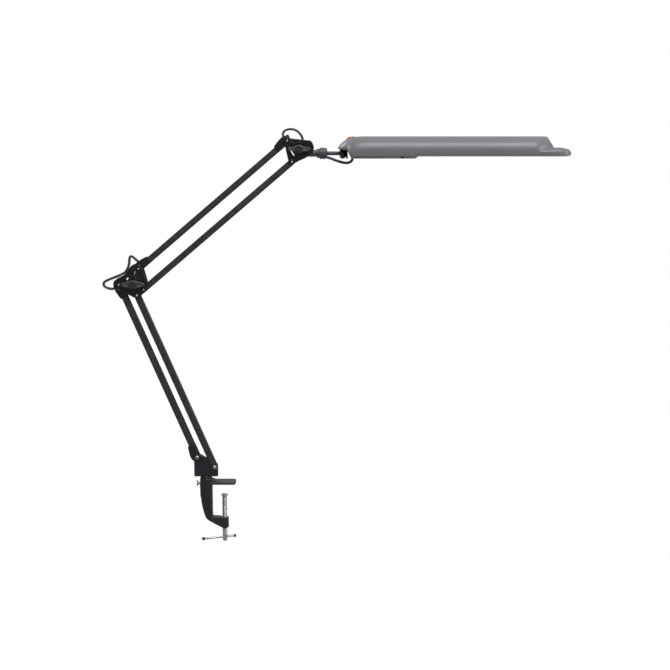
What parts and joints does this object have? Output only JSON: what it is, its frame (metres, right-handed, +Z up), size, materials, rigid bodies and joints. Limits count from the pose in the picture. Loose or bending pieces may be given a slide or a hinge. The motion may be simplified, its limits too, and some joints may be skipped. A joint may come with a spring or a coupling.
{
  "type": "architect desk lamp",
  "caption": "Clamp-on architect desk lamp with two sprung parallelogram arms, friction knobs and a long fluorescent head that tilts, rolls and pans",
  "frame": {"origin": "on the underside of the clamp's upper jaw, over the axis of the clamp spindle", "axes": "+Z up, +X along the reach of the arms towards the head, +Y to the rear, away from the knobs"},
  "size_m": [1.0009, 0.11, 0.9116],
  "materials": {
    "cast_black": "satin black enamel on an iron casting or folded steel",
    "black_powder_coat": "fine satin black powder coat",
    "black_plastic": "moulded black plastic, lightly satin",
    "knob_plastic": "dark warm grey moulded plastic",
    "slate_plastic": "blue-grey moulded plastic",
    "zinc_steel": "zinc plated steel",
    "graphite_paint": "graphite grey moulded plastic with a semi-gloss painted finish",
    "warm_grey_plastic": "warm grey moulded plastic",
    "orange_plastic": "orange rocker",
    "cable_sheath": null,
    "white_plastic": "white moulded plastic",
    "tube_glass": "white phosphor coated glass",
    "reflector_aluminium": "bright folded aluminium"
  },
  "bodies": {
    "clamp": {"clamp_frame": "cast_black", "swivel_bush": "black_plastic"},
    "lock_screw": {"pin_lock_screw": "zinc_steel"},
    "pressure_disc": {"pressure_disc": "zinc_steel"},
    "spindle": {"clamp_spindle": "zinc_steel"},
    "tommy": {"tommy_bar": "zinc_steel", "tommy_cap_left": "black_plastic", "tommy_cap_right": "black_plastic"},
    "base": {"base_bracket": "cast_black", "swivel_pin": "zinc_steel", "base_screw_outer": "zinc_steel", "base_screw_inner": "zinc_steel", "base_nut_outer": "zinc_steel", "base_nut_inner": "zinc_steel"},
    "lower_outer_arm": {"lower_outer_bar": "black_powder_coat", "lower_sleeve_bottom": "black_plastic", "lower_sleeve_top": "black_plastic", "cable_elbow_lower": "cable_sheath"},
    "lower_inner_arm": {"lower_inner_bar": "black_powder_coat", "lower_spring": "zinc_steel"},
    "elbow": {"elbow_front_plate": "black_plastic", "elbow_rear_plate": "black_plastic", "elbow_spacer": "black_plastic", "elbow_bolt": "zinc_steel", "elbow_pin_lower_outer": "zinc_steel", "elbow_pin_lower_inner": "zinc_steel", "elbow_pin_upper_outer": "zinc_steel", "elbow_pin_upper_inner": "zinc_steel"},
    "elbow_knob": {"elbow_knob": "knob_plastic"},
    "upper_outer_arm": {"upper_outer_bar": "black_powder_coat", "upper_sleeve_bottom": "black_plastic", "upper_sleeve_top": "black_plastic", "cable_elbow_upper": "cable_sheath", "cable_top": "cable_sheath"},
    "upper_inner_arm": {"upper_inner_bar": "black_powder_coat", "upper_spring": "zinc_steel"},
    "head_bracket": {"head_front_plate": "black_plastic", "head_rear_plate": "black_plastic", "head_pin_outer": "zinc_steel", "head_pin_inner": "zinc_steel", "head_bolt": "zinc_steel", "cable_gland_block": "black_plastic"},
    "head_knob": {"head_knob": "knob_plastic"},
    "knuckle": {"tilt_knuckle": "slate_plastic"},
    "rod": {"collar": "slate_plastic", "head_rod": "zinc_steel", "cable_head": "cable_sheath"},
    "head": {"shade": "graphite_paint", "hinge_bracket": "black_plastic", "pan_pin": "zinc_steel", "reflector": "reflector_aluminium", "electronics_cover": "warm_grey_plastic", "cover_screw": "zinc_steel", "ballast": "white_plastic", "tube_socket": "white_plastic", "tube_base": "white_plastic", "fluorescent_tube": "tube_glass", "tube_clip": "reflector_aluminium", "switch_body": "black_plastic"},
    "rocker": {"switch_rocker": "orange_plastic"}
  },
  "joints": [
    {"name": "base_swivel", "type": "hinge", "parent": "clamp", "child": "base", "pos_m": [-0.04, 0, 0.0165], "axis": [0, 0, 1], "continuous": true},
    {"name": "lock_screw_turn", "type": "hinge", "parent": "clamp", "child": "lock_screw", "pos_m": [-0.058, 0, 0], "axis": [1, 0, 0], "continuous": true},
    {"name": "clamp_travel", "type": "slide", "parent": "clamp", "child": "pressure_disc", "axis": [0, 0, 1], "range_m": [-0.045, 0.018]},
    {"name": "spindle_turn", "type": "hinge", "parent": "pressure_disc", "child": "spindle", "pos_m": [0, 0, -0.0295], "axis": [0, 0, 1], "range_deg": [-10920, 4440]},
    {"name": "tommy_slide", "type": "slide", "parent": "spindle", "child": "tommy", "axis": [0.9455, 0.3256, 0], "range_m": [-0.013, 0.04]},
    {"name": "lower_arm", "type": "hinge", "parent": "base", "child": "lower_outer_arm", "pos_m": [-0.059, 0, 0.0608], "axis": [0, 1, 0], "range_deg": [-14, 60], "deforming": ["cable_elbow_lower"]},
    {"name": "lower_inner_follow", "type": "hinge", "parent": "base", "child": "lower_inner_arm", "pos_m": [-0.0208, 0, 0.0375], "axis": [0, 1, 0], "range_deg": [-14.5, 60.5]},
    {"name": "elbow_level", "type": "hinge", "parent": "lower_outer_arm", "child": "elbow", "pos_m": [-0.22154, 0, 0.44373], "axis": [0, 1, 0], "range_deg": [-60.5, 14.5]},
    {"name": "elbow_knob_turn", "type": "hinge", "parent": "elbow", "child": "elbow_knob", "pos_m": [-0.19004, -0.018, 0.44543], "axis": [0, 1, 0], "continuous": true},
    {"name": "upper_arm", "type": "hinge", "parent": "elbow", "child": "upper_outer_arm", "pos_m": [-0.17834, 0, 0.47833], "axis": [0, 1, 0], "range_deg": [-40, 52], "deforming": ["cable_elbow_upper", "cable_top"]},
    {"name": "upper_inner_follow", "type": "hinge", "parent": "elbow", "child": "upper_inner_arm", "pos_m": [-0.16849, 0, 0.43353], "axis": [0, 1, 0], "range_deg": [-46, 58]},
    {"name": "head_level", "type": "hinge", "parent": "upper_outer_arm", "child": "head_bracket", "pos_m": [0.14341, 0, 0.75216], "axis": [0, 1, 0], "range_deg": [-58, 46]},
    {"name": "head_knob_turn", "type": "hinge", "parent": "head_bracket", "child": "head_knob", "pos_m": [0.16876, -0.018, 0.73506], "axis": [0, 1, 0], "continuous": true},
    {"name": "head_tilt", "type": "hinge", "parent": "head_bracket", "child": "knuckle", "pos_m": [0.16876, 0, 0.73506], "axis": [0, 1, 0], "range_deg": [-12, 70]},
    {"name": "head_roll", "type": "hinge", "parent": "knuckle", "child": "rod", "pos_m": [0.2058, 0, 0.7255], "axis": [1, 0, 0], "range_deg": [-90, 90]},
    {"name": "head_pan", "type": "hinge", "parent": "rod", "child": "head", "pos_m": [0.2617, 0, 0.7255], "axis": [0, 0, 1], "range_deg": [-60, 60], "deforming": ["cable_head"]},
    {"name": "rocker_tilt", "type": "hinge", "parent": "head", "child": "rocker", "pos_m": [0.2791, 0, 0.7542], "axis": [0, 1, 0], "range_deg": [-10, 0]}
  ],
  "couplings": [
    {"joint": "spindle_turn", "follows": "clamp_travel", "rad_per_m": 4188.8},
    {"joint": "lower_inner_follow", "follows": "lower_arm", "ratio": 1},
    {"joint": "elbow_level", "follows": "lower_arm", "ratio": -1},
    {"joint": "upper_inner_follow", "follows": "upper_arm", "ratio": 1},
    {"joint": "head_level", "follows": "upper_arm", "ratio": -1}
  ]
}
